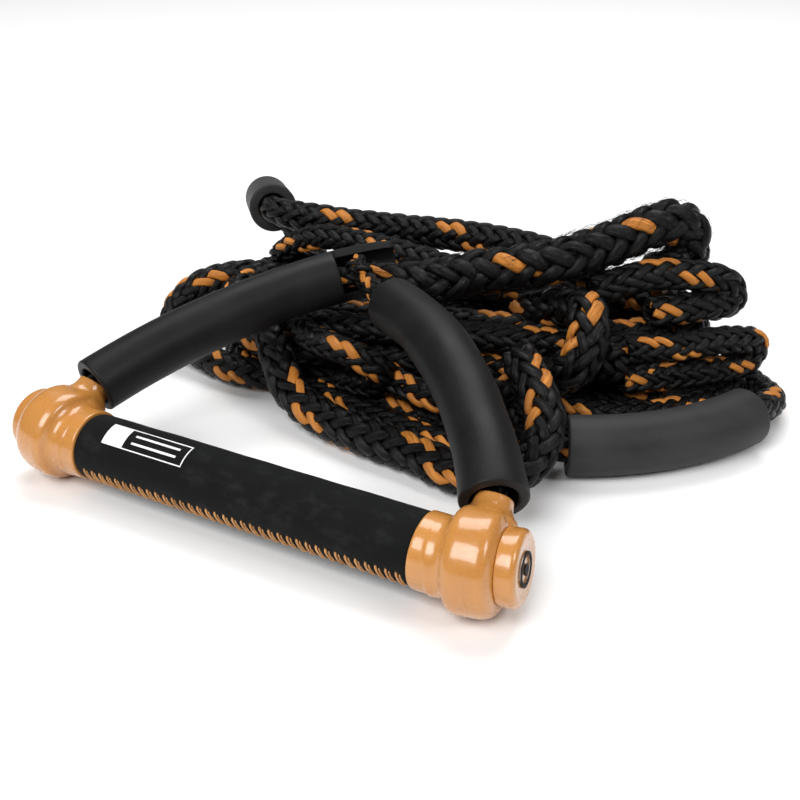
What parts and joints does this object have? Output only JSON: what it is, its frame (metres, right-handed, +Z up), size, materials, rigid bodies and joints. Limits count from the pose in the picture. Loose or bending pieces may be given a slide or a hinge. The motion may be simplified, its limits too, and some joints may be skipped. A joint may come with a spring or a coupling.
{
  "type": "tow rope handle",
  "caption": "Straight padded towing handle with moulded end caps on a short foam-sleeved rope bridle, with its braided tow rope and foam floats lying in a heap behind it.",
  "frame": {"origin": "centre of the grip bar, on its axis", "axes": "+X along the grip bar to the user's right, +Y away from the user towards the rope, +Z up from the floor the handle lies on"},
  "size_m": [0.3996, 0.3454, 0.1124],
  "materials": {
    "tube_metal": "drawn",
    "core_foam": "closed cell foam",
    "grip_skin": "suede-like, mottled",
    "seam_thread": "waxed thread",
    "badge_print": "printed",
    "cap_plastic": "glossy, slightly translucent",
    "emblem_ink": "satin",
    "washer_steel": "plain",
    "sleeve_foam": "matt closed cell foam",
    "float_foam": "matt closed cell foam",
    "rope_braid": "black hollow braid with an orange tracer"
  },
  "bodies": {
    "rope": {"bridle_leg_left": "rope_braid", "bridle_leg_right": "rope_braid", "yoke_knot": "rope_braid", "grip_rope": "rope_braid", "top_run": "rope_braid", "back_run": "rope_braid", "front_run": "rope_braid", "left_loop": "rope_braid", "inner_loop": "rope_braid", "inner_fill": "rope_braid", "under_run": "rope_braid", "right_loop": "rope_braid", "fold_loop": "rope_braid", "low_run": "rope_braid", "float_lead": "rope_braid", "float_tail": "rope_braid", "rear_run": "rope_braid", "rope_hank": "rope_braid", "tow_eye": "rope_braid", "eye_splice": "rope_braid", "float_core_front": "rope_braid", "float_core_rear": "rope_braid"},
    "handle": {"bar_tube": "tube_metal", "bar_foam_core": "core_foam", "grip_wrap": "grip_skin", "seam_stitches": "seam_thread", "grip_badge": "badge_print", "cap_left": "cap_plastic", "cap_right": "cap_plastic", "plug_left": "cap_plastic", "plug_right": "cap_plastic", "emblem_left": "emblem_ink", "emblem_right": "emblem_ink", "bridle_knot_left": "rope_braid", "bridle_knot_right": "rope_braid", "knot_washer_left": "washer_steel", "knot_washer_right": "washer_steel", "bridle_stub_left": "rope_braid", "bridle_stub_right": "rope_braid"},
    "sleeve_left": {"sleeve_left": "sleeve_foam"},
    "sleeve_right": {"sleeve_right": "sleeve_foam"},
    "float_front": {"float_front": "float_foam"},
    "float_rear": {"float_rear": "float_foam"}
  },
  "joints": [
    {"name": "handle_swing", "type": "hinge", "parent": "rope", "child": "handle", "pos_m": [0, 0.0229, 0.01738], "axis": [1, 0, 0], "range_deg": [-22, 6]},
    {"name": "sleeve_left_slide", "type": "slide", "parent": "rope", "child": "sleeve_left", "axis": [0.512, 0.8256, 0.237], "range_m": [0, 0.0015]},
    {"name": "sleeve_right_slide", "type": "slide", "parent": "rope", "child": "sleeve_right", "axis": [-0.704, 0.6808, 0.2022], "range_m": [0, 0.005]},
    {"name": "float_front_slide", "type": "hinge", "parent": "rope", "child": "float_front", "pos_m": [0.04686, 0.24909, -0.00645], "axis": [0, 0, 1], "range_deg": [-0.8, 2.45]},
    {"name": "float_rear_slide", "type": "slide", "parent": "rope", "child": "float_rear", "axis": [0.621, -0.7621, 0.1835], "range_m": [0, 0.006]}
  ]
}
